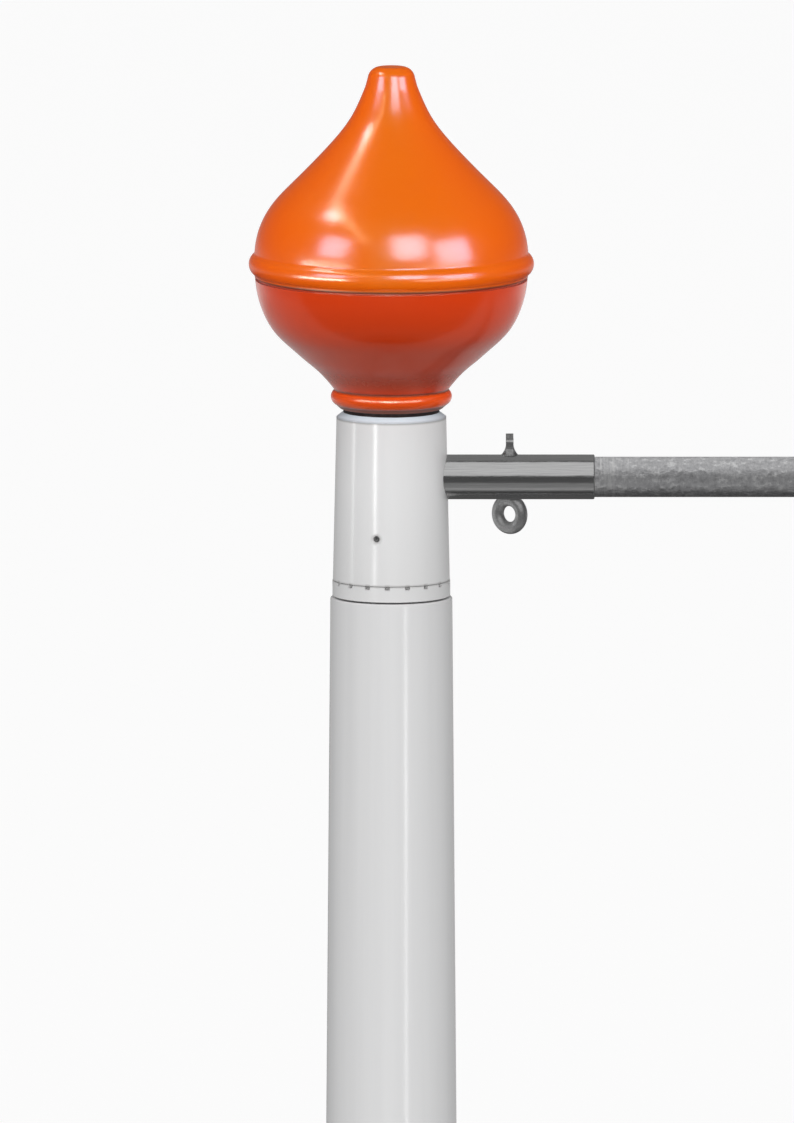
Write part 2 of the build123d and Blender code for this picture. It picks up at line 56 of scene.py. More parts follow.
mast_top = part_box("mast_tube")[1].z
aim = Vector((aim_right, 0, mast_top + aim_above_mast))
camera_distance = picture_height * metres_per_pixel * camera_lens / camera_sensor
camera_way = Vector((0, -math.cos(camera_elevation), math.sin(camera_elevation)))
camera_data = bpy.data.cameras.new("camera")
camera_data.lens = camera_lens
camera_data.sensor_width = camera_sensor
camera_data.clip_start = camera_nearest
camera_data.clip_end = camera_farthest
camera = bpy.data.objects.new("camera", camera_data)
camera.location = aim + camera_distance * camera_way
camera.rotation_euler = (math.pi / 2 - camera_elevation, 0, 0)
bpy.context.collection.objects.link(camera)
bpy.context.scene.camera = camera
bpy.context.scene.view_settings.view_transform = "Standard"

# Shading lamps. Wide soft boxes in front and behind shade the whole pole, and gloss doesn't show them.
# Smaller ones even out the finial's shells and the rim, and deepen the dome's orange at its sides.
finial_level = mast_top + 0.195
rim_level = mast_top + 0.1
fill_distance = 2.0
white_light = (1.0, 1.0, 1.0)
red_light = (1.0, 0.14, 0.02)
gold_light = (0.7, 1.0, 0.2)
amber_light = (1.0, 0.4, 0.1)
on_bowl = ("finial_bowl",)
on_dome = ("finial_dome",)
on_rim = ("head_upper_bush",)
all_but_bowl = [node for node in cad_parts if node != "finial_bowl"]


def soft_lamp(name, place, size, radiance, on=(), gloss=True, ahead=0.0, tint=white_light):
    """A lamp that faces the pole, for the named nodes alone where there are any.

    Its place is azimuth, with 0 the camera's side and 90 the arm's, elevation, distance and level.
    """
    azimuth, elevation, distance, middle = place
    width, height = size
    data = bpy.data.lights.new(name, "AREA")
    data.color = tint
    data.shape = "RECTANGLE"
    data.size = width
    data.size_y = height
    data.energy = radiance * math.pi * width * height
    lamp = bpy.data.objects.new(name, data)
    turn, rise = math.radians(azimuth), math.radians(elevation)
    away = Vector((math.sin(turn) * math.cos(rise), -math.cos(turn) * math.cos(rise), math.sin(rise)))
    lamp.location = Vector((0, -ahead, middle)) + away * distance
    lamp.rotation_mode = "QUATERNION"
    lamp.rotation_quaternion = (-away).to_track_quat("-Z", "Y")
    lamp.visible_camera = False
    lamp.visible_glossy = gloss
    lamp.visible_diffuse = not gloss
    bpy.context.collection.objects.link(lamp)
    if on:
        lit = bpy.data.collections.new(name + "_lights")
        for node in on:
            lit.objects.link(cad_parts[node])
        lamp.light_linking.receiver_collection = lit


soft_lamp("front_fill_high", (-1, 0, 6.0, 7.2), (3.0, 3.4), 4.5, gloss=False)
soft_lamp("front_fill_low", (-1, 0, 6.0, 2.6), (3.0, 5.2), 1.85, on=all_but_bowl, gloss=False)
soft_lamp("back_fill", (168, 4, 6.0, 4.0), (3.0, 6.4), 3.3, gloss=False)

# Each fill is a name, azimuth, elevation, size, radiance, shell and tint.
shell_fills = (
    ("bowl_fill_left", -75, 26, (1.6, 1.4), 1.6, on_bowl, white_light),
    ("bowl_fill_right", 75, 26, (1.6, 1.4), 2.0, on_bowl, white_light),
    ("dome_fill_front", 6, 35, (1.2, 1.2), 1.7, on_dome, gold_light),
    ("dome_fill_left", -100, 20, (1.6, 1.6), 2.9, on_dome, red_light),
    ("dome_fill_right", 100, 20, (1.6, 1.6), 2.8, on_dome, red_light),
    ("bead_fill", 0, -52, (2.4, 0.8), 3.0, on_dome, amber_light),
)
for name, azimuth, elevation, size, radiance, shell, tint in shell_fills:
    place = (azimuth, elevation, fill_distance, finial_level)
    soft_lamp(name, place, size, radiance, on=shell, gloss=False, tint=tint)
soft_lamp("rim_fill", (0, 12, fill_distance, rim_level), (1.6, 1.0), 4.2, on=on_rim, gloss=False)

# Strips. Upright strip lamps, seen in gloss alone, draw the long pale streaks down the white plastic
# and the gelcoat: two on the left for the head, and one on the right for the mast.
sleeve_level = mast_top + 0.0185
edge_strip_level = sleeve_level - 0.022
white_head = ("head_lower_bush", "head_sleeve", "head_upper_bush")
on_mast = ("mast_tube",)
soft_lamp("left_strip", (-33, 0, 1.3, sleeve_level), (0.09, 0.203), 25, on=white_head)
soft_lamp("left_edge_strip", (-84, 0, 1.6, edge_strip_level), (0.06, 0.207), 24, on=white_head)
soft_lamp("mast_strip", (27, 0, 1.8, 2.74), (0.15, 5.28), 4.4, on=on_mast)
soft_lamp("mast_strip_top", (27, 0, 1.8, 5.45), (0.15, 0.14), 7.4, on=on_mast)

# Windows. The dome's gloss shows three cool windows, with a ceiling tube and the lamp at its end, and
# its bead two low windows. The bowl's collar shows three more, and the bowl a pale floor under it.
window_distance = 2.6
window_tint = (0.21, 0.32, 1.0)
tube_tint = (0.55, 0.68, 0.85)
lamp_tint = (0.35, 0.43, 0.85)
bead_tint = (0.36, 0.54, 1.0)
dome_windows = (
    ("near_window", 16, 27, (1.22, 1.4), 48),
    ("far_window", 55, 17, (1.4, 1.3), 42),
    ("left_window", -52, 22, (1.12, 1.1), 41),
)
bead_windows = (
    ("bead_window_left", -58, -6, (2.0, 0.55), 78),
    ("bead_window_right", 45, -6, (2.4, 0.55), 19),
)
collar_windows = (
    ("collar_window_left", -48, 15, (2.0, 0.8), 12),
    ("collar_window_front", -4, 15, (1.7, 0.8), 21),
    ("collar_window_right", 40, 15, (1.8, 0.8), 11),
)


def open_windows(windows, shell, tint):
    """Windows at one distance, each a name, azimuth, elevation, size and radiance."""
    for name, azimuth, elevation, size, radiance in windows:
        place = (azimuth, elevation, window_distance, finial_level)
        soft_lamp(name, place, size, radiance, on=shell, tint=tint)


tube_place = (-90, 58, 1.5, finial_level)
tube_end_place = (-90, 52.8, 1.57, finial_level)
open_windows(dome_windows, on_dome, window_tint)
soft_lamp("ceiling_tube", tube_place, (2.2, 0.1), 21, on=on_dome, ahead=0.82, tint=tube_tint)
soft_lamp("ceiling_lamp", tube_end_place, (0.42, 0.18), 74, on=on_dome, ahead=0.15, tint=lamp_tint)
open_windows(bead_windows, on_dome, bead_tint)
open_windows(collar_windows, on_bowl, white_light)
soft_lamp("under_glow", (0, -90, 1.2, finial_level), (8.0, 8.0), 0.5, on=on_bowl, ahead=-3.75)

# Panels. Broad dim panels overhead, behind and in front give bare metal something even to mirror. The
# finial, the wing nut and the eye stay out of the gloss of the pieces beside them.
head_metal = ("arm_socket", "eye_bolt", "wing_nut", "set_screws")
foot_metal = (
    "lower_plate", "upper_plate", "foot_ring", "foot_spigot", "ground_studs", "stud_nuts", "stud_washers",
    "clamp_nuts", "clamp_washers", "levelling_nuts", "levelling_washers", "foot_screws", "hinge_bolt",
    "hinge_nut", "stud_caps",
)
on_arm = ("arm_tube",)
out_of_gloss = ("finial_bowl", "finial_dome", "wing_nut", "eye_bolt")
soft_lamp("metal_panel", (0, 52, 2.0, mast_top), (3.0, 3.1), 0.5, on=head_metal)
soft_lamp("metal_panel_back", (180, 50, 2.0, mast_top), (3.0, 2.6), 0.14, on=head_metal)
soft_lamp("foot_panel", (0, 90, 1.6, 0.0), (5.0, 5.0), 0.6, on=foot_metal)
soft_lamp("foot_window", (31, 49, 2.2, 0.0), (1.5, 1.2), 1.6, on=foot_metal)
soft_lamp("arm_panel_above", (0, 90, 1.5, mast_top), (6.0, 6.0), 0.68, on=on_arm, ahead=-1.0)
soft_lamp("arm_panel_front", (0, -8, 2.0, mast_top), (3.0, 4.4), 0.25, on=on_arm)
for node in out_of_gloss:
    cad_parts[node].visible_glossy = False

# Room. The backdrop is plain and nearly white. Shading sees a pale room that is dark below. Gloss sees
# a darker one, with a pale band on the floor in front and another under the level behind.
backdrop_tone = 0.965
room_tone = 0.48
room_tone_above = 0.92
room_tone_below = 0.05
front_meets_back = 0.1

# Each stop is a height, from 0 straight down to 1 straight up, and the grey that is seen there.
room_stops = [(0.3, room_tone_below), (0.5, room_tone), (0.7, room_tone), (0.8, room_tone_above)]
front_stops = [(0.02, 0.05), (0.06, 0.3), (0.09, 0.33), (0.12, 0.2), (0.28, 0.2), (0.31, 0.08), (0.62, 0.06)]
back_stops = [(0.02, 0.08), (0.36, 0.08), (0.4, 0.45), (0.455, 0.5), (0.5, 0.2), (0.56, 0.12), (0.68, 0.05)]


def add_node(tree, kind, inputs=None, **settings):
    """A node with its settings, and each input given a value or joined to another node's output."""
    new = tree.nodes.new(kind)
    for name, value in settings.items():
        setattr(new, name, value)
    for socket, value in (inputs or {}).items():
        if isinstance(value, bpy.types.NodeSocket):
            tree.links.new(value, new.inputs[socket])
        else:
            new.inputs[socket].default_value = value
    return new


def spread(tree, value, low, high, to_low=0.0, to_high=1.0, smooth=False):
    """Stretches a value between two limits over another range, and holds it there beyond them."""
    ends = {"Value": value, "From Min": low, "From Max": high, "To Min": to_low, "To Max": to_high}
    kind = "SMOOTHSTEP" if smooth else "LINEAR"
    return add_node(tree, "ShaderNodeMapRange", ends, interpolation_type=kind).outputs[0]


def blend_colour(tree, share, first, second):
    """The first colour at share 0 and the second at 1. Each is a colour or another node's output."""
    mix = add_node(tree, "ShaderNodeMix", {0: share}, data_type="RGBA")
    for socket, colour in ((6, first), (7, second)):
        if isinstance(colour, tuple):
            mix.inputs[socket].default_value = (*colour, 1)
        else:
            tree.links.new(colour, mix.inputs[socket])
    return mix.outputs[2]


def tone_ramp(tree, factor, stops):
    """A ramp of grey levels from pairs of place and level."""
    ramp = add_node(tree, "ShaderNodeValToRGB", {"Fac": factor})
    elements = ramp.color_ramp.elements
    elements.remove(elements[1])
    for number, (place, level) in enumerate(stops):
        element = elements[0] if number == 0 else elements.new(place)
        element.position = place
        element.color = (level, level, level, 1)
    return ramp.outputs["Color"]


def split_up(tree, place):
    """The three numbers of a place or a direction."""
    return add_node(tree, "ShaderNodeSeparateXYZ", {0: place}).outputs


def grey(level):
    return (level, level, level)


world = bpy.data.worlds.new("studio")
world.use_nodes = True
world.cycles.sampling_method = "NONE"
room = world.node_tree
room.nodes.clear()
ray = add_node(room, "ShaderNodeLightPath").outputs
way = split_up(room, add_node(room, "ShaderNodeTexCoord").outputs["Generated"])
height_share = spread(room, way["Z"], -1.0, 1.0)
diffuse_tone = tone_ramp(room, height_share, room_stops)
front_tone = tone_ramp(room, height_share, front_stops)
back_tone = tone_ramp(room, height_share, back_stops)
front_share = spread(room, way["Y"], front_meets_back, -front_meets_back)
gloss_tone = blend_colour(room, front_share, back_tone, front_tone)
lit_tone = blend_colour(room, ray["Is Glossy Ray"], diffuse_tone, gloss_tone)
seen_tone = blend_colour(room, ray["Is Camera Ray"], lit_tone, grey(backdrop_tone))
background = add_node(room, "ShaderNodeBackground", {"Color": seen_tone})
add_node(room, "ShaderNodeOutputWorld", {"Surface": background.outputs[0]})
bpy.context.scene.world = world

# Floor. A very wide floor of pale matt paint. It glows a little more the further it is from the pole,
# so that it runs into the backdrop with no line.
floor_size = 1200.0
floor_albedo = 0.6
floor_rough = 0.9
floor_glow_near = 0.15
floor_glow_far = 0.505
floor_glow_starts = 3.0
floor_glow_stops = 30.0


def calculate_way(tree, operation, first, second=(0, 0, 0), third=(0, 0, 0)):
    """One sum on places or directions. Lengths, distances and dot products come out as a number."""
    new = add_node(tree, "ShaderNodeVectorMath", {0: first, 1: second, 2: third}, operation=operation)
    return new.outputs["Value" if operation in ("LENGTH", "DISTANCE", "DOT_PRODUCT") else "Vector"]


bpy.ops.mesh.primitive_plane_add(size=floor_size, location=(0, 0, 0))
floor = bpy.context.object
floor.name = "floor"
floor.visible_glossy = False
floor.visible_diffuse = False
floor_paint = bpy.data.materials.new("floor_paint")
floor_paint.use_nodes = True
floor_tree = floor_paint.node_tree
paint = floor_tree.nodes["Principled BSDF"].inputs
paint["Base Color"].default_value = (*grey(floor_albedo), 1)
paint["Roughness"].default_value = floor_rough
paint["Emission Color"].default_value = (1, 1, 1, 1)
floor_place = add_node(floor_tree, "ShaderNodeTexCoord").outputs["Object"]
from_pole = calculate_way(floor_tree, "LENGTH", floor_place)
floor_glow_range = (floor_glow_starts, floor_glow_stops, floor_glow_near, floor_glow_far)
floor_glow = spread(floor_tree, from_pole, *floor_glow_range, smooth=True)
floor_tree.links.new(floor_glow, paint["Emission Strength"])
floor.data.materials.append(floor_paint)

# Base plates. Two three-sided plates of 8 mm steel are rolled into the hinge's knuckles along one
# side and dipped in zinc, which leaves a mottled grey skin with dull crystals and scuffs. Rain has
# left rust on the upper plate by the mast's foot and one nut, and dirt round the levelling nuts.
zinc_dull = (0.50, 0.53, 0.58)
zinc_bright = (0.78, 0.81, 0.86)
zinc_chalk = (0.88, 0.9, 0.92)
rust_brown = (0.42, 0.17, 0.045)
rust_yellow = (0.62, 0.38, 0.14)
dirt_colour = (0.13, 0.115, 0.09)
zinc_metallic = 0.45
zinc_rough = (0.36, 0.58)
crystal_size = 0.009
crystal_share = 0.45
crystal_bends_per_metre = 90.0
crystal_bend = (0.006, 0.006, 0.006)
cloud_size = 0.036
cloud_depth = 0.0006
pit_size = 0.0014
pit_depth = 0.0001
scuff_turn = 0.7
scuffs_per_metre = (18, 210, 60)
scuff_share = 0.5
plate_edge_round = 0.0009
rubbed_share = 0.4
tear_size = 0.004
rust_tear = 1.8
rust_share = 0.85
dirt_tear = 3.3
dirt_share = 0.6
plain_stretch = (1.0, 1.0, 1.0)
rust_by_foot = (0.056, 0.030, 0.052)
rust_by_cap = (-0.050, -0.064, 0.052)
rust_speck = (-0.020, 0.103, 0.008)
dirt_by_ring = (-0.052, 0.032, 0.052)
dirt_by_nut = (-0.045, 0.100, 0.008)


def calculate(tree, operation, first, second=0.0, third=0.0):
    """One sum on two or three numbers, each a value or another node's output."""
    return add_node(tree, "ShaderNodeMath", {0: first, 1: second, 2: third}, operation=operation).outputs[0]


def new_group(name, inputs, outputs):
    """An empty shader group with its inputs, from triples of name, kind and value, and its outputs."""
    group = bpy.data.node_groups.new(name, "ShaderNodeTree")
    for label, kind, value in inputs:
        socket = group.interface.new_socket(label, in_out="INPUT", socket_type="NodeSocket" + kind)
        socket.default_value = value
    for label, kind in outputs:
        group.interface.new_socket(label, in_out="OUTPUT", socket_type="NodeSocket" + kind)
    return group, add_node(group, "NodeGroupInput").outputs


def use_group(tree, group, inputs):
    return add_node(tree, "ShaderNodeGroup", inputs, node_tree=group).outputs


def new_finish(name, **values):
    """A material with a Principled shader, with plain values on the shader's own inputs."""
    finish = bpy.data.materials.new(name)
    finish.use_nodes = True
    tree = finish.node_tree
    shader = tree.nodes["Principled BSDF"].inputs
    for label, value in values.items():
        shader[label.replace("_", " ")].default_value = value
    place = add_node(tree, "ShaderNodeTexCoord").outputs["Object"]
    return finish, tree, shader, place


def noise(tree, place, size, detail=3.0, roughness=0.6):
    """Cloudy noise whose patches are about the given size in metres."""
    spot = {"Vector": place, "Scale": 1 / size, "Detail": detail, "Roughness": roughness}
    return add_node(tree, "ShaderNodeTexNoise", spot).outputs["Fac"]


def paint_over(tree, tone, mask, share, colour):
    """Lays a colour over a tone where the mask is, up to the given share."""
    return blend_colour(tree, calculate(tree, "MULTIPLY", mask, share), tone, colour)


def bump(tree, height, depth, under=None):
    """A normal from a height between 0 and 1, with its full depth in metres."""
    inputs = {"Height": height, "Strength": 1.0, "Distance": depth}
    if under is not None:
        inputs["Normal"] = under
    return add_node(tree, "ShaderNodeBump", inputs).outputs[0]


def join_up(tree, shader, colour, roughness, normal):
    tree.links.new(colour, shader["Base Color"])
    tree.links.new(roughness, shader["Roughness"])
    tree.links.new(normal, shader["Normal"])


def dress(finish, *names):
    """Gives a finish to the solids that are shown as they are."""
    for name in names:
        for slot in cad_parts[name].material_slots:
            slot.material = finish


# The small round that every edge has, and where it is rubbed.
soft_edges, edges_in = new_group(
    "soft_edges",
    [("Radius", "Float", plate_edge_round)],
    [("Normal", "Vector"), ("Rubbed", "Float")],
)
edge_normal = add_node(soft_edges, "ShaderNodeBevel", {"Radius": edges_in["Radius"]}, samples=6).outputs[0]
flat_normal = add_node(soft_edges, "ShaderNodeNewGeometry").outputs["Normal"]
edge_turn = calculate_way(soft_edges, "DOT_PRODUCT", edge_normal, flat_normal)
rubbed = spread(soft_edges, edge_turn, 0.99, 0.8)
add_node(soft_edges, "NodeGroupOutput", {"Normal": edge_normal, "Rubbed": rubbed})


def soft_edge(tree, radius):
    return use_group(tree, soft_edges, {"Radius": radius})


# The ragged spot that rust and dirt make: strongest in the middle and torn at its edge.
stain, stain_in = new_group(
    "stain",
    [
        ("Place", "Vector", (0, 0, 0)), ("Middle", "Vector", (0, 0, 0)),
        ("Stretch", "Vector", plain_stretch), ("Size", "Float", 0.01), ("Ragged", "Float", rust_tear),
    ],
    [("Mask", "Float")],
)
stain_way = calculate_way(stain, "SUBTRACT", stain_in["Place"], stain_in["Middle"])
stain_way = calculate_way(stain, "DIVIDE", stain_way, stain_in["Stretch"])
stain_reach = calculate(stain, "DIVIDE", calculate_way(stain, "LENGTH", stain_way), stain_in["Size"])
stain_tear = calculate(stain, "SUBTRACT", noise(stain, stain_in["Place"], tear_size, 4.0, 0.65), 0.5)
stain_edge = calculate(stain, "MULTIPLY_ADD", stain_tear, stain_in["Ragged"], stain_reach)
add_node(stain, "NodeGroupOutput", {"Mask": spread(stain, stain_edge, 1.0, 0.15, smooth=True)})

# The crystals and clouds of hot-dip zinc, the scuffs of handling and the fine pitting under them.
zinc_skin, zinc_in = new_group(
    "zinc_skin",
    [("Place", "Vector", (0, 0, 0)), ("Crystal Size", "Float", crystal_size)],
    [("Crystals", "Float"), ("Clouds", "Float"), ("Scuffs", "Float"), ("Pitting", "Float")],
)
crystal_place = {"Vector": zinc_in["Place"], "Scale": crystal_bends_per_metre}
crystal_place = add_node(zinc_skin, "ShaderNodeTexNoise", crystal_place).outputs["Color"]
crystal_place = calculate_way(zinc_skin, "MULTIPLY_ADD", crystal_place, crystal_bend, zinc_in["Place"])
crystals_per_metre = calculate(zinc_skin, "DIVIDE", 1.0, zinc_in["Crystal Size"])
crystal_cells = {"Vector": crystal_place, "Scale": crystals_per_metre}
crystal_cells = add_node(zinc_skin, "ShaderNodeTexVoronoi", crystal_cells).outputs["Color"]
crystal_tone = add_node(zinc_skin, "ShaderNodeSeparateColor", {0: crystal_cells}).outputs[0]
scuff_place = {"Vector": zinc_in["Place"], "Rotation": (0, 0, scuff_turn), "Scale": scuffs_per_metre}
scuff_place = add_node(zinc_skin, "ShaderNodeMapping", scuff_place).outputs[0]
zinc_marks = {
    "Crystals": crystal_tone,
    "Clouds": noise(zinc_skin, zinc_in["Place"], cloud_size, 6.0, 0.72),
    "Scuffs": spread(zinc_skin, noise(zinc_skin, scuff_place, 1.0), 0.6, 0.74),
    "Pitting": noise(zinc_skin, zinc_in["Place"], pit_size, 3.0, 0.7),
}
add_node(zinc_skin, "NodeGroupOutput", zinc_marks)


def galvanised_finish(name, rust_places, dirt_places):
    """Hot-dip zinc with rust and dirt at places, each a triple of middle, stretch and size."""
    finish, tree, shader, place = new_finish(name, Metallic=zinc_metallic)
    skin = use_group(tree, zinc_skin, {"Place": place})
    edge = soft_edge(tree, plate_edge_round)
    tone = blend_colour(tree, spread(tree, skin["Clouds"], 0.32, 0.68), zinc_dull, zinc_bright)
    tone = paint_over(tree, tone, skin["Crystals"], crystal_share, zinc_chalk)
    tone = paint_over(tree, tone, skin["Scuffs"], scuff_share, zinc_chalk)
    tone = paint_over(tree, tone, edge["Rubbed"], rubbed_share, zinc_chalk)
    rust = blend_colour(tree, skin["Pitting"], rust_brown, rust_yellow)
    spots = [(*spot, rust_tear, rust_share, rust) for spot in rust_places]
    spots += [(*spot, dirt_tear, dirt_share, dirt_colour) for spot in dirt_places]
    for middle, stretch, size, ragged, share, colour in spots:
        spot = {"Place": place, "Middle": middle, "Stretch": stretch, "Size": size, "Ragged": ragged}
        tone = paint_over(tree, tone, use_group(tree, stain, spot)["Mask"], share, colour)
    relief = bump(tree, skin["Clouds"], cloud_depth, bump(tree, skin["Pitting"], pit_depth, edge["Normal"]))
    join_up(tree, shader, tone, spread(tree, skin["Crystals"], 0.0, 1.0, *zinc_rough), relief)
    return finish


upper_zinc = galvanised_finish(
    "upper_plate_zinc",
    [(rust_by_foot, (1.0, 1.3, 2.0), 0.0085), (rust_by_cap, (1.4, 1.0, 2.0), 0.0065)],
    [(dirt_by_ring, (0.8, 1.8, 1.0), 0.014)],
)
lower_zinc = galvanised_finish(
    "lower_plate_zinc",
    [(rust_speck, plain_stretch, 0.0035)],
    [(dirt_by_nut, (1.2, 1.0, 1.0), 0.018)],
)
dress(upper_zinc, "upper_plate")
dress(lower_zinc, "lower_plate")

# Mast's steel foot. A flat ring and a tube inside the mast are welded to the upper plate and dipped
# in zinc with it. The weld is one low bead round the ring, laid by hand, with its ripples still there.
bead_radius = 0.0019
bead_ripple_pitch = 0.0032
bead_ripple_depth = 0.00022
bead_lumps = 0.0011
bead_lump_size = 0.009
bead_steps = 720
bead_sides = 14
ring_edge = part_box("foot_ring")[1].x
plate_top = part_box("foot_ring")[0].z
bead_ripples = float(round(math.tau * ring_edge / bead_ripple_pitch))
ring_dirt_places = [
    ((0.012, 0.058, 0.054), (2.2, 1.0, 1.0), 0.006),
    ((-0.015, 0.067, 0.052), (2.0, 1.0, 1.0), 0.006),
    ((-0.061, 0.032, 0.052), (1.0, 2.0, 1.0), 0.006),
]
foot_lamps = ("front_fill_low", "foot_panel", "foot_window")


def new_recipe(name, sizes):
    """A Geometry Nodes tree with its sizes, from triples of name, kind and value, and a mesh to give."""
    recipe = bpy.data.node_groups.new(name, "GeometryNodeTree")
    recipe.interface.new_socket("Mesh", in_out="OUTPUT", socket_type="NodeSocketGeometry")
    for label, kind, value in sizes:
        socket = recipe.interface.new_socket(label, in_out="INPUT", socket_type="NodeSocket" + kind)
        socket.default_value = value
    return recipe, add_node(recipe, "NodeGroupInput").outputs


def end_recipe(recipe, mesh, finish):
    """The last steps of every tree: real geometry from any instances, and the finish."""
    mesh = add_node(recipe, "GeometryNodeRealizeInstances", {0: mesh}).outputs[0]
    mesh = add_node(recipe, "GeometryNodeSetMaterial", {"Geometry": mesh, "Material": finish}).outputs[0]
    add_node(recipe, "NodeGroupOutput", {0: mesh})


def make_piece(name, recipe, sizes):
    """Runs a tree with named sizes, keeps what it makes as a plain mesh and puts the foot's lamps on it."""
    piece = bpy.data.objects.new(name, bpy.data.meshes.new(name))
    bpy.context.collection.objects.link(piece)
    step = piece.modifiers.new(name, "NODES")
    step.node_group = recipe
    sockets = {item.name: item.identifier for item in recipe.interface.items_tree if item.in_out == "INPUT"}
    for label, value in sizes.items():
        step[sockets[label]] = value
    made = piece.evaluated_get(bpy.context.evaluated_depsgraph_get())
    mesh = bpy.data.meshes.new_from_object(made)
    piece.modifiers.clear()
    piece.data = mesh
    for lamp in foot_lamps:
        bpy.data.collections[lamp + "_lights"].objects.link(piece)
    return piece


weld_recipe, weld_in = new_recipe(
    "weld_bead",
    [
        ("Ring Radius", "Float", ring_edge), ("Level", "Float", plate_top),
        ("Bead Radius", "Float", bead_radius), ("Ripples", "Float", bead_ripples),
        ("Ripple Depth", "Float", bead_ripple_depth), ("Lumps", "Float", bead_lumps),
    ],
)
weld_path = {"Resolution": bead_steps, "Radius": weld_in["Ring Radius"]}
weld_path = add_node(weld_recipe, "GeometryNodeCurvePrimitiveCircle", weld_path).outputs[0]
weld_rod = {"Resolution": bead_sides, "Radius": weld_in["Bead Radius"]}
weld_rod = add_node(weld_recipe, "GeometryNodeCurvePrimitiveCircle", weld_rod).outputs[0]
weld_tube = {"Curve": weld_path, "Profile Curve": weld_rod}
weld_tube = add_node(weld_recipe, "GeometryNodeCurveToMesh", weld_tube).outputs[0]
weld_place = add_node(weld_recipe, "GeometryNodeInputPosition").outputs[0]
weld_xyz = split_up(weld_recipe, weld_place)
weld_turn = calculate(weld_recipe, "ARCTAN2", weld_xyz["Y"], weld_xyz["X"])
weld_wave = calculate(weld_recipe, "MULTIPLY", weld_turn, weld_in["Ripples"])
weld_wave = calculate(weld_recipe, "SINE", weld_wave)
weld_wave = calculate(weld_recipe, "MULTIPLY", weld_wave, weld_in["Ripple Depth"])
weld_lump = calculate(weld_recipe, "SUBTRACT", noise(weld_recipe, weld_place, bead_lump_size, 2.0), 0.5)
weld_swell = calculate(weld_recipe, "MULTIPLY_ADD", weld_lump, weld_in["Lumps"], weld_wave)
weld_out = {0: add_node(weld_recipe, "GeometryNodeInputNormal").outputs[0], "Scale": weld_swell}
weld_out = add_node(weld_recipe, "ShaderNodeVectorMath", weld_out, operation="SCALE").outputs[0]
weld_rise = add_node(weld_recipe, "ShaderNodeCombineXYZ", {"Z": weld_in["Level"]}).outputs[0]
weld_bent = {"Geometry": weld_tube, "Offset": calculate_way(weld_recipe, "ADD", weld_out, weld_rise)}
weld_bent = add_node(weld_recipe, "GeometryNodeSetPosition", weld_bent).outputs[0]
weld_bent = {"Geometry": weld_bent, "Shade Smooth": True}
weld_bent = add_node(weld_recipe, "GeometryNodeSetShadeSmooth", weld_bent).outputs[0]
ring_rust_places = [(rust_by_foot, (0.8, 1.6, 1.5), 0.0075)]
ring_zinc = galvanised_finish("foot_ring_zinc", ring_rust_places, ring_dirt_places)
end_recipe(weld_recipe, weld_bent, ring_zinc)
weld_sizes = {"Ring Radius": ring_edge, "Level": plate_top, "Ripples": bead_ripples}
weld_bead = make_piece("weld_bead", weld_recipe, weld_sizes)
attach(weld_bead, "mast")
dress(ring_zinc, "foot_ring", "foot_spigot")

# Ground studs. Three threaded steel bars, bright zinc plated, stand in the foundation on one circle.
# Their thread is rolled, with a pitch of 2 mm, and the top is turned down so that a nut starts on it.
stud_radius = 0.008
stud_pitch = 0.002
stud_thread_depth = 0.0011
stud_count = 3
stud_lead = 0.0015
stud_sides = 32
steps_per_pitch = 4
studs_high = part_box("ground_studs")[1]
stud_length = studs_high.z
stud_circle = studs_high.x - stud_radius
zinc_silver = (0.70, 0.71, 0.72)
zinc_blue = (0.60, 0.64, 0.70)
zinc_straw = (0.66, 0.62, 0.50)
zinc_bloom = (0.80, 0.81, 0.80)
tint_size = 0.014
bloom_size = 0.005
bloom_share = 0.5
bloom_dullness = 0.2
mark_size = 0.0007
mark_depth = 0.00002
fastener_rough = (0.2, 0.34)
fastener_edge_round = 0.0005

# Fine lines and grain, drawn out along any direction by the stretch.
fine_grain, grain_in = new_group(
    "fine_grain",
    [("Place", "Vector", (0, 0, 0)), ("Stretch", "Vector", plain_stretch), ("Size", "Float", 0.001)],
    [("Grain", "Float")],
)
grain_place = calculate_way(fine_grain, "DIVIDE", grain_in["Place"], grain_in["Stretch"])
grain_scale = calculate(fine_grain, "DIVIDE", 1.0, grain_in["Size"])
grain_spot = {"Vector": grain_place, "Scale": grain_scale, "Detail": 4.0, "Roughness": 0.6}
grain_tone = add_node(fine_grain, "ShaderNodeTexNoise", grain_spot).outputs["Fac"]
add_node(fine_grain, "NodeGroupOutput", {"Grain": spread(fine_grain, grain_tone, 0.25, 0.75)})


def grain(tree, place, size, stretch=plain_stretch):
    return use_group(tree, fine_grain, {"Place": place, "Stretch": stretch, "Size": size})["Grain"]


def bright_zinc_finish(name, stretch):
    """Bright zinc plate, a little blue and straw in patches, with marks drawn out along the stretch."""
    finish, tree, shader, place = new_finish(name, Metallic=1.0)
    edge = soft_edge(tree, fastener_edge_round)
    marks = grain(tree, place, mark_size, stretch)
    tint = noise(tree, place, tint_size, 2.0)
    tone = blend_colour(tree, spread(tree, tint, 0.35, 0.6), zinc_blue, zinc_silver)
    tone = blend_colour(tree, spread(tree, tint, 0.55, 0.72, 0.0, 0.7), tone, zinc_straw)
    bloom = spread(tree, noise(tree, place, bloom_size, 5.0, 0.7), 0.55, 0.75)
    tone = paint_over(tree, tone, bloom, bloom_share, zinc_bloom)
    tone = paint_over(tree, tone, edge["Rubbed"], bloom_share, zinc_bloom)
    dull = spread(tree, marks, 0.0, 1.0, *fastener_rough)
    dull = calculate(tree, "MULTIPLY_ADD", bloom, bloom_dullness, dull)
    join_up(tree, shader, tone, dull, bump(tree, marks, mark_depth, edge["Normal"]))
    return finish


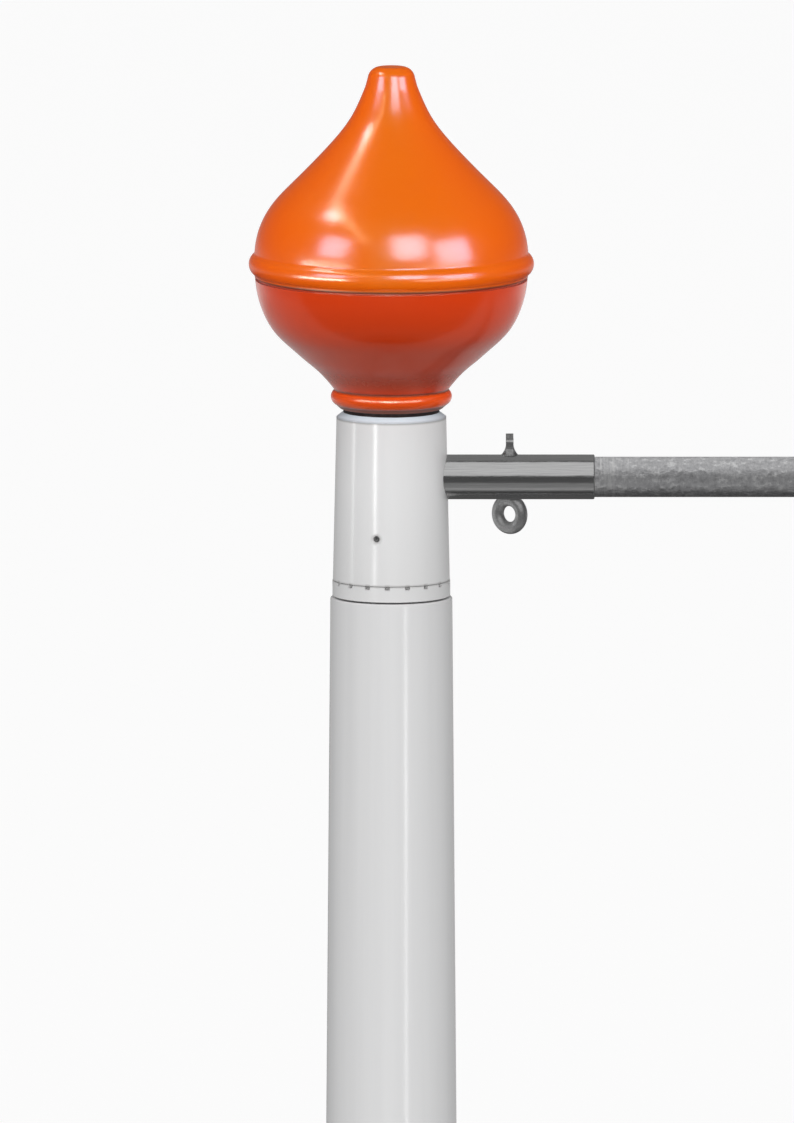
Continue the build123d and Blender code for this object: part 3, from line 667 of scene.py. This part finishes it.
stud_recipe, stud_in = new_recipe(
    "threaded_studs",
    [
        ("Radius", "Float", stud_radius), ("Length", "Float", stud_length), ("Circle", "Float", stud_circle),
        ("Count", "Int", stud_count), ("Pitch", "Float", stud_pitch), ("Depth", "Float", stud_thread_depth),
        ("Lead", "Float", stud_lead),
    ],
)
bar_steps = calculate(stud_recipe, "DIVIDE", stud_in["Length"], stud_in["Pitch"])
bar_steps = calculate(stud_recipe, "MULTIPLY", bar_steps, float(steps_per_pitch))
bar = {
    "Vertices": stud_sides, "Side Segments": bar_steps,
    "Radius": stud_in["Radius"], "Depth": stud_in["Length"],
}
bar = add_node(stud_recipe, "GeometryNodeMeshCylinder", bar, fill_type="NGON").outputs
bar_xyz = split_up(stud_recipe, add_node(stud_recipe, "GeometryNodeInputPosition").outputs[0])
bar_level = calculate(stud_recipe, "MULTIPLY_ADD", stud_in["Length"], 0.5, bar_xyz["Z"])
bar_turn = calculate(stud_recipe, "ARCTAN2", bar_xyz["Y"], bar_xyz["X"])
bar_turn = calculate(stud_recipe, "DIVIDE", bar_turn, math.tau)
thread_turns = calculate(stud_recipe, "DIVIDE", bar_level, stud_in["Pitch"])
thread_turns = calculate(stud_recipe, "SUBTRACT", thread_turns, bar_turn)
thread_wave = calculate(stud_recipe, "PINGPONG", thread_turns, 0.5)
thread_cut = calculate(stud_recipe, "MULTIPLY", thread_wave, 2.0)
thread_cut = calculate(stud_recipe, "MULTIPLY", thread_cut, stud_in["Depth"])
thread_radius = calculate(stud_recipe, "SUBTRACT", stud_in["Radius"], thread_cut)
lead_radius = calculate(stud_recipe, "SUBTRACT", stud_in["Length"], bar_level)
lead_radius = calculate(stud_recipe, "ADD", lead_radius, stud_in["Radius"])
lead_radius = calculate(stud_recipe, "SUBTRACT", lead_radius, stud_in["Lead"])
thread_radius = calculate(stud_recipe, "MINIMUM", thread_radius, lead_radius)
thread_share = calculate(stud_recipe, "DIVIDE", thread_radius, stud_in["Radius"])
thread_place = {
    "X": calculate(stud_recipe, "MULTIPLY", bar_xyz["X"], thread_share),
    "Y": calculate(stud_recipe, "MULTIPLY", bar_xyz["Y"], thread_share),
    "Z": bar_level,
}
thread_place = add_node(stud_recipe, "ShaderNodeCombineXYZ", thread_place).outputs[0]
thread_bar = {"Geometry": bar["Mesh"], "Position": thread_place}
thread_bar = add_node(stud_recipe, "GeometryNodeSetPosition", thread_bar).outputs[0]
thread_bar = {"Geometry": thread_bar, "Selection": bar["Side"], "Shade Smooth": True}
thread_bar = add_node(stud_recipe, "GeometryNodeSetShadeSmooth", thread_bar).outputs[0]
stud_points = {"Vertices": stud_in["Count"], "Radius": stud_in["Circle"]}
stud_points = add_node(stud_recipe, "GeometryNodeMeshCircle", stud_points, fill_type="NONE").outputs[0]
stud_bars = {"Points": stud_points, "Instance": thread_bar}
stud_bars = add_node(stud_recipe, "GeometryNodeInstanceOnPoints", stud_bars).outputs[0]
end_recipe(stud_recipe, stud_bars, bright_zinc_finish("thread_zinc", (2.0, 2.0, 1.0)))
stud_threads = make_piece("stud_threads", stud_recipe, {"Length": stud_length, "Circle": stud_circle})
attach(stud_threads, "base")
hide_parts("ground_studs")

# Nuts, washers and bolts. Hexagon nuts, flat washers, the hinge bolt with its lock nut and the two
# button-head screws through the mast's foot are bright zinc-plated steel. Nuts are forged and the
# washers punched and tumbled, while bolts are turned, which leaves lines round them.
nut_zinc = bright_zinc_finish("nut_zinc", plain_stretch)
turned_zinc_upright = bright_zinc_finish("turned_zinc_upright", (9.0, 9.0, 0.6))
turned_zinc_across = bright_zinc_finish("turned_zinc_across", (9.0, 0.6, 9.0))
dress(nut_zinc, "clamp_nuts", "clamp_washers", "levelling_nuts", "levelling_washers")
dress(nut_zinc, "stud_nuts", "stud_washers", "foot_screws", "finial_nut")
dress(turned_zinc_across, "hinge_bolt", "hinge_nut")
dress(turned_zinc_upright, "swivel_bolt", "finial_stud")

# Nut caps. Push-on caps of black polyethylene cover the three upper nuts. They are moulded with a
# plain skirt, a step and a dome, and have gone dusty and a little grey on top in the weather.
cap_black = (0.035, 0.035, 0.039)
cap_grey = (0.11, 0.11, 0.12)
cap_dust = (0.22, 0.2, 0.17)
cap_gloss = (0.32, 0.42)
cap_edge_round = 0.0004
cap_mottle_size = 0.012
cap_dust_size = 0.0011
cap_dust_amount = 0.3
cap_rubbed_share = 0.35
cap_skin_size = 0.0005
cap_skin_depth = 0.00002
dust_patch_size = 0.02

# Small spots of dust, scattered over the whole surface and thickest where it faces up.
dust, dust_in = new_group(
    "dust",
    [
        ("Place", "Vector", (0, 0, 0)), ("Facing", "Vector", (0, 0, 1)), ("Size", "Float", 0.001),
        ("Amount", "Float", cap_dust_amount),
    ],
    [("Mask", "Float")],
)
dust_up = spread(dust, split_up(dust, dust_in["Facing"])["Z"], -0.2, 0.9, 0.15, 1.0, smooth=True)
dust_scale = calculate(dust, "DIVIDE", 1.0, dust_in["Size"])
dust_fine = {"Vector": dust_in["Place"], "Scale": dust_scale, "Detail": 4.0, "Roughness": 0.75}
dust_fine = spread(dust, add_node(dust, "ShaderNodeTexNoise", dust_fine).outputs["Fac"], 0.52, 0.72)
dust_patch = spread(dust, noise(dust, dust_in["Place"], dust_patch_size, 3.0), 0.35, 0.7, 0.3, 1.0)
dust_mask = calculate(dust, "MULTIPLY", calculate(dust, "MULTIPLY", dust_up, dust_fine), dust_patch)
add_node(dust, "NodeGroupOutput", {"Mask": calculate(dust, "MULTIPLY", dust_mask, dust_in["Amount"])})


def settled_dust(tree, place, size, amount):
    facing = add_node(tree, "ShaderNodeTexCoord").outputs["Normal"]
    spots = {"Place": place, "Facing": facing, "Size": size, "Amount": amount}
    return use_group(tree, dust, spots)["Mask"]


finish, tree, shader, place = new_finish("cap_black_plastic")
edge = soft_edge(tree, cap_edge_round)
mottle = noise(tree, place, cap_mottle_size, 4.0)
tone = blend_colour(tree, spread(tree, mottle, 0.4, 0.75, 0.0, 0.5), cap_black, cap_grey)
tone = paint_over(tree, tone, edge["Rubbed"], cap_rubbed_share, cap_grey)
dusty = settled_dust(tree, place, cap_dust_size, cap_dust_amount)
tone = blend_colour(tree, dusty, tone, cap_dust)
relief = bump(tree, grain(tree, place, cap_skin_size), cap_skin_depth, edge["Normal"])
join_up(tree, shader, tone, spread(tree, mottle, 0.3, 0.7, *cap_gloss), relief)
dress(finish, "stud_caps")

# Mast. A glass-fibre tube wound on a mandrel, straight at its foot and tapering above, with a white
# gelcoat that is ground and polished. It is clean, with only faint long grinding lines in its gloss.
gelcoat_white = (0.815, 0.815, 0.818)
gelcoat_shade = (0.78, 0.78, 0.783)
gelcoat_grime = (0.50, 0.48, 0.44)
gelcoat_gloss = (0.13, 0.2)
mast_edge_round = 0.0005
mast_streak_size = 0.006
mast_streak_stretch = (1.0, 1.0, 60.0)
mast_line_size = 0.0012
mast_line_stretch = (1.0, 1.0, 160.0)
mast_line_depth = 0.000003
mast_wave_size = 0.012
mast_wave_depth = 0.00004
splash_top = 0.5
splash_foot = 0.05
splash_share = 0.12
finish, tree, shader, place = new_finish("mast_gelcoat")
edge = soft_edge(tree, mast_edge_round)
streaks = grain(tree, place, mast_streak_size, mast_streak_stretch)
lines = grain(tree, place, mast_line_size, mast_line_stretch)
tone = blend_colour(tree, streaks, gelcoat_white, gelcoat_shade)
level = split_up(tree, place)["Z"]
splash = spread(tree, level, splash_top, splash_foot, 0.0, splash_share, smooth=True)
splash = calculate(tree, "MULTIPLY", splash, spread(tree, streaks, 0.3, 0.9))
tone = blend_colour(tree, splash, tone, gelcoat_grime)
relief = bump(tree, lines, mast_line_depth, edge["Normal"])
relief = bump(tree, noise(tree, place, mast_wave_size, 2.0), mast_wave_depth, relief)
join_up(tree, shader, tone, spread(tree, lines, 0.0, 1.0, *gelcoat_gloss), relief)
dress(finish, "mast_tube")

# Mast's top plug and thrust washer. The plug is turned from white acetal bar and glued in the mast;
# the washer is stamped from black slippery plastic. The head's shoulder bolt screws down into them.
acetal_white = (0.74, 0.76, 0.78)
acetal_shade = (0.66, 0.68, 0.71)
acetal_rough = 0.3
washer_black = (0.02, 0.02, 0.022)
washer_worn = (0.06, 0.06, 0.065)
washer_rough = 0.35
turning_pitch = 0.0003
turning_depth = 0.00001
turned_edge_round = 0.0003
turned_mottle_size = 0.01


def turned_plastic(name, light, dark, rough):
    """Plastic with the fine rings that a lathe tool leaves, centred on the pole's axis."""
    finish, tree, shader, place = new_finish(name)
    edge = soft_edge(tree, turned_edge_round)
    xyz = split_up(tree, place)
    flat = add_node(tree, "ShaderNodeCombineXYZ", {"X": xyz["X"], "Y": xyz["Y"]}).outputs[0]
    reach = calculate_way(tree, "LENGTH", flat)
    groove = calculate(tree, "DIVIDE", calculate(tree, "ADD", reach, xyz["Z"]), turning_pitch)
    groove = calculate(tree, "MULTIPLY", calculate(tree, "PINGPONG", groove, 0.5), 2.0)
    tone = blend_colour(tree, noise(tree, place, turned_mottle_size, 4.0), light, dark)
    dull = spread(tree, groove, 0.0, 1.0, rough, rough + 0.1)
    join_up(tree, shader, tone, dull, bump(tree, groove, turning_depth, edge["Normal"]))
    return finish


dress(turned_plastic("acetal", acetal_white, acetal_shade, acetal_rough), "mast_top_plug")
dress(turned_plastic("thrust_washer_plastic", washer_worn, washer_black, washer_rough), "thrust_washer")

# Swivelling head. A white moulded sleeve holds two bushes that are pressed into its ends: the lower
# one shows as a notched ring over the mast, the upper one as a cooler white rim under the finial.
# Three small set screws hold the sleeve to the lower bush, each sunk in its own dimple.
# Painted shade darkens the seams, the notches and the screws' dimples, and the sleeve towards its foot.
sleeve_white = (0.875, 0.877, 0.88)
sleeve_shade = (0.855, 0.857, 0.86)
# Painted shade: the sleeve is painted darker towards its foot, and the lower bush below it fully so.
lower_sleeve_painted_shade = (0.80, 0.80, 0.80)
painted_shade_height = 0.05
painted_shade_share = 0.9
sleeve_rough = 0.17
bush_white = (0.77, 0.77, 0.772)
bush_shade = (0.74, 0.74, 0.742)
bush_rough = 0.18
rim_white = (0.71, 0.78, 0.85)
rim_shade = (0.67, 0.74, 0.81)
rim_rough = 0.3
flow_size = 0.01
flow_stretch = (1.0, 1.0, 6.0)
flow_depth = 0.00003
head_skin_size = 0.0006
head_skin_depth = 0.000003
head_edge_round = 0.0004
sleeve_foot, sleeve_top = [corner.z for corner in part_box("head_sleeve")]
# Painted shade: a dark grey laid along the head's seams, by the lower bush's notches and round the screws'
# dimples.
head_painted_shade = (0.20, 0.19, 0.18)
seam_shade_reach = 0.0012
head_seam_shades = ((sleeve_foot, 0.35), (sleeve_top, 0.5))
notch_count = 18
notch_turn = math.radians(94.0)
notch_level = sleeve_foot - 0.0006
notch_painted_shade = 0.4
notch_shade_ends = (0.0021, 0.0004)
screw_angles = (-105.0, 15.0, 135.0)
screw_level = sum(corner.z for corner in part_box("set_screws")) / 2
dimple_depth = 0.001
screw_reach = max(v.co.xy.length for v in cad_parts["set_screws"].data.vertices) + dimple_depth
screw_painted_shade = 0.42
screw_shade_ends = (0.0036, 0.0012)


def away_from(tree, number, line):
    """How far a number is from a line, on either side of it."""
    return calculate(tree, "ABSOLUTE", calculate(tree, "SUBTRACT", number, line))


def moulded_white(name, light, shade, rough):
    """White moulded plastic with faint flow marks, painted shade low on the sleeve, and painted shade at its
    seams, notches and screws.
    """
    finish, tree, shader, place = new_finish(name)
    edge = soft_edge(tree, head_edge_round)
    xyz = split_up(tree, place)
    level = xyz["Z"]
    flow = grain(tree, place, flow_size, flow_stretch)
    tone = blend_colour(tree, flow, light, shade)
    # Painted shade, darker towards the sleeve's foot.
    low = spread(tree, level, sleeve_foot + painted_shade_height, sleeve_foot, 0.0, painted_shade_share)
    tone = blend_colour(tree, low, tone, lower_sleeve_painted_shade)
    # Painted shade along the seams, by the notches and round the screws' dimples.
    shade_masks = []
    for seam, amount in head_seam_shades:
        from_seam = away_from(tree, level, seam)
        shade_masks.append(spread(tree, from_seam, seam_shade_reach, 0.0, 0.0, amount, smooth=True))
    turn = calculate(tree, "ADD", calculate(tree, "ARCTAN2", xyz["Y"], xyz["X"]), notch_turn)
    by_notch = calculate(tree, "COSINE", calculate(tree, "MULTIPLY", turn, float(notch_count)))
    by_notch = spread(tree, by_notch, 0.5, 1.0, 0.0, notch_painted_shade, smooth=True)
    at_notches = spread(tree, away_from(tree, level, notch_level), *notch_shade_ends, smooth=True)
    shade_masks.append(calculate(tree, "MULTIPLY", by_notch, at_notches))
    for angle in screw_angles:
        side = math.radians(angle)
        screw = (screw_reach * math.cos(side), screw_reach * math.sin(side), screw_level)
        from_screw = calculate_way(tree, "DISTANCE", place, screw)
        shade_masks.append(spread(tree, from_screw, *screw_shade_ends, 0.0, screw_painted_shade, smooth=True))
    for shade_mask in shade_masks:
        tone = blend_colour(tree, shade_mask, tone, head_painted_shade)
    skin = grain(tree, place, head_skin_size)
    relief = bump(tree, flow, flow_depth, bump(tree, skin, head_skin_depth, edge["Normal"]))
    join_up(tree, shader, tone, spread(tree, skin, 0.0, 1.0, rough, rough + 0.05), relief)
    return finish


dress(moulded_white("sleeve_plastic", sleeve_white, sleeve_shade, sleeve_rough), "head_sleeve")
dress(moulded_white("bush_plastic", bush_white, bush_shade, bush_rough), "head_lower_bush")
dress(moulded_white("rim_plastic", rim_white, rim_shade, rim_rough), "head_upper_bush")

# Plain steel parts. Polished stainless for the arm's socket, with fine lines along it from the
# polishing belt; duller stainless for the forged eye and cast wing nut, and dark steel set screws.
rubbed_steel = grey(0.86)
steel_edge_round = 0.0003
wave_size = 0.006
wave_stretch = (3.0, 1.0, 1.0)
along_arm = (40.0, 1.0, 1.0)


def steel_finish(name, light, dark, rough, line_size, line_depth, wave_depth, stretch=plain_stretch):
    """Bare steel with lines or grain drawn out along the stretch, and slow waves in its surface."""
    finish, tree, shader, place = new_finish(name, Metallic=1.0)
    edge = soft_edge(tree, steel_edge_round)
    lines = grain(tree, place, line_size, stretch)
    waves = grain(tree, place, wave_size, wave_stretch)
    tone = blend_colour(tree, lines, grey(light), grey(dark))
    tone = paint_over(tree, tone, edge["Rubbed"], rubbed_share, rubbed_steel)
    relief = bump(tree, waves, wave_depth, bump(tree, lines, line_depth, edge["Normal"]))
    join_up(tree, shader, tone, spread(tree, lines, 0.0, 1.0, rough, rough * 1.5), relief)
    return finish


socket_steel = steel_finish(
    "socket_steel", light=0.86, dark=0.68, rough=0.14, line_size=0.0004, line_depth=0.000002,
    wave_depth=0.00004, stretch=along_arm,
)
eye_steel = steel_finish(
    "eye_steel", light=0.86, dark=0.60, rough=0.38, line_size=0.0007, line_depth=0.00002,
    wave_depth=0.00002,
)
wing_steel = steel_finish(
    "wing_steel", light=0.92, dark=0.48, rough=0.3, line_size=0.0011, line_depth=0.00005,
    wave_depth=0.00005,
)
screw_steel = steel_finish(
    "screw_steel", light=0.85, dark=0.6, rough=0.35, line_size=0.0005, line_depth=0.00001,
    wave_depth=0.00001,
)
dress(socket_steel, "arm_socket")
dress(eye_steel, "eye_bolt")
dress(wing_steel, "wing_nut")
dress(screw_steel, "set_screws")

# Banner arm. A 20 mm aluminium tube with a grainy mill finish, pushed into the socket and held by
# the eye's shank. Turning it in the socket has scored it round and round just outside the socket.
arm_light = (0.66, 0.66, 0.67)
arm_dark = (0.43, 0.43, 0.44)
arm_glint = (0.92, 0.92, 0.92)
arm_dull = (0.34, 0.34, 0.35)
arm_score = (0.76, 0.76, 0.76)
arm_gloss = (0.34, 0.5)
arm_grain_size = 0.0009
arm_grain_stretch = (1.0, 1.6, 1.6)
arm_grain_depth = 0.00004
arm_blot_size = 0.0026
arm_blot_stretch = (1.2, 1.0, 1.0)
arm_blot_depth = 0.0003
score_pitch = 0.0016
score_stretch = (1.0, 9.0, 9.0)
score_depth = 0.00012
score_reach = 0.024
socket_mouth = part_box("arm_socket")[1].x
finish, tree, shader, place = new_finish("arm_aluminium", Metallic=1.0)
grains = grain(tree, place, arm_grain_size, arm_grain_stretch)
blots = grain(tree, place, arm_blot_size, arm_blot_stretch)
rings = grain(tree, place, score_pitch, score_stretch)
out = split_up(tree, place)["X"]
scored = spread(tree, out, socket_mouth + score_reach, socket_mouth, smooth=True)
tone = blend_colour(tree, grains, arm_dark, arm_light)
tone = blend_colour(tree, spread(tree, blots, 0.45, 0.1, 0.0, 0.7), tone, arm_dull)
tone = blend_colour(tree, spread(tree, blots, 0.58, 0.8, 0.0, 0.6), tone, arm_glint)
score_share = calculate(tree, "MULTIPLY", scored, spread(tree, rings, 0.45, 0.85))
tone = blend_colour(tree, score_share, tone, arm_score)
relief = bump(tree, grains, arm_grain_depth, bump(tree, blots, arm_blot_depth))
relief = bump(tree, calculate(tree, "MULTIPLY", scored, rings), score_depth, relief)
join_up(tree, shader, tone, spread(tree, grains, 0.0, 1.0, *arm_gloss), relief)
dress(finish, "arm_tube")

# Arm's end plug. A ribbed plug of grey polyethylene is knocked into the open end of the arm's tube.
# Its skin is matt and a little mottled.
plug_light = (0.30, 0.305, 0.31)
plug_dark = (0.21, 0.215, 0.22)
plug_gloss = (0.45, 0.6)
plug_edge_round = 0.0003
plug_mottle_size = 0.004
plug_skin_size = 0.0004
plug_skin_depth = 0.00002
finish, tree, shader, place = new_finish("end_plug_plastic")
edge = soft_edge(tree, plug_edge_round)
mottle = noise(tree, place, plug_mottle_size, 4.0)
tone = blend_colour(tree, mottle, plug_light, plug_dark)
relief = bump(tree, grain(tree, place, plug_skin_size), plug_skin_depth, edge["Normal"])
join_up(tree, shader, tone, spread(tree, mottle, 0.3, 0.7, *plug_gloss), relief)
dress(finish, "arm_end_plug")

# Gasket. A thin ring of black rubber seals the finial's foot on the head's rim. It has a matt skin
# with a little talc left on it.
rubber_black = (0.022, 0.014, 0.014)
rubber_grey = (0.07, 0.05, 0.048)
rubber_gloss = (0.55, 0.75)
talc_size = 0.003
rubber_skin_size = 0.0004
rubber_skin_depth = 0.00003
finish, tree, shader, place = new_finish("gasket_rubber")
talc = noise(tree, place, talc_size, 5.0, 0.7)
tone = blend_colour(tree, spread(tree, talc, 0.45, 0.8), rubber_black, rubber_grey)
relief = bump(tree, grain(tree, place, rubber_skin_size), rubber_skin_depth)
join_up(tree, shader, tone, spread(tree, talc, 0.3, 0.7, *rubber_gloss), relief)
dress(finish, "finial_gasket")

# Onion finial. Two thin shells of glossy orange plastic, vacuum formed: the dome's beaded rim snaps
# over the bowl's lip. Painted shade darkens the seam under it and the creases at the collar and neck.
# The bowl is moulded in a redder batch, its collar is painted brighter for the light that it catches,
# and a little dust has settled on the dome.
dome_orange = (0.69, 0.134, 0.001)
dome_deep = (0.68, 0.120, 0.001)
bowl_orange = (0.80, 0.056, 0.003)
bowl_deep = (0.78, 0.049, 0.003)
# Painted light: the collar's brighter orange stands in for the light that falls on its level face.
collar_painted_light_orange = (0.90, 0.085, 0.003)
dome_gloss = (1.0, 0.8, 0.35, 1.0)
bowl_gloss = (1.0, 1.0, 0.82, 1.0)
finial_rough = (0.2, 0.24)
dust_dullness = 0.5
crease_dullness = 0.2
finial_edge_round = 0.0004
batch_patch_size = 0.03
finial_dust = (0.75, 0.36, 0.12)
finial_dust_size = 0.0009
finial_dust_amount = 0.05
# Painted shade for the finial's creases.
finial_painted_shade = (0.06, 0.025, 0.015)
gloss_patch_size = 0.008
peel_size = 0.0035
peel_depth = 0.000006
finial_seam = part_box("finial_dome")[0].z
finial_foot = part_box("finial_bowl")[0].z
collar_top = finial_foot + 0.0095
collar_edge = 0.0004
collar_foot = finial_foot + 0.0014
neck_level = collar_top + 0.007

# Each crease is a level, how far its painted shade reaches, and how much of it there is.
finial_shaded_creases = (
    (finial_seam, 0.0014, 0.8),
    (collar_top, 0.0013, 0.75),
    (neck_level, 0.0075, 0.3),
    (collar_foot, 0.0016, 0.85),
    (finial_foot, 0.0016, 0.85),
)


def glossy_orange(name, light, deep, gloss_tint):
    """Orange plastic with a soft gloss, a faint orange-peel, some dust, painted shade in its creases, and a
    collar painted brighter for its light.
    """
    finish, tree, shader, place = new_finish(name, Specular_Tint=gloss_tint)
    edge = soft_edge(tree, finial_edge_round)
    level = split_up(tree, place)["Z"]
    tone = blend_colour(tree, noise(tree, place, batch_patch_size, 2.0), light, deep)
    dusty = settled_dust(tree, place, finial_dust_size, finial_dust_amount)
    tone = blend_colour(tree, dusty, tone, finial_dust)
    # The collar is painted brighter, as painted light.
    in_collar = spread(tree, level, collar_top + collar_edge, collar_top - collar_edge)
    tone = blend_colour(tree, in_collar, tone, collar_painted_light_orange)
    rough = spread(tree, noise(tree, place, gloss_patch_size, 4.0), 0.3, 0.7, *finial_rough)
    rough = calculate(tree, "MULTIPLY_ADD", dusty, dust_dullness, rough)
    # Painted shade darkens each crease, where the seam, collar, neck and foot fall into shade, and dulls its
    # gloss.
    for crease, reach, amount in finial_shaded_creases:
        crease_shade = spread(tree, away_from(tree, level, crease), reach, 0.0, 0.0, amount, smooth=True)
        tone = blend_colour(tree, crease_shade, tone, finial_painted_shade)
        rough = calculate(tree, "MULTIPLY_ADD", crease_shade, crease_dullness, rough)
    peel = bump(tree, noise(tree, place, peel_size, 1.0), peel_depth, edge["Normal"])
    join_up(tree, shader, tone, rough, peel)
    return finish


dress(glossy_orange("dome_plastic", dome_orange, dome_deep, dome_gloss), "finial_dome")
dress(glossy_orange("bowl_plastic", bowl_orange, bowl_deep, bowl_gloss), "finial_bowl")
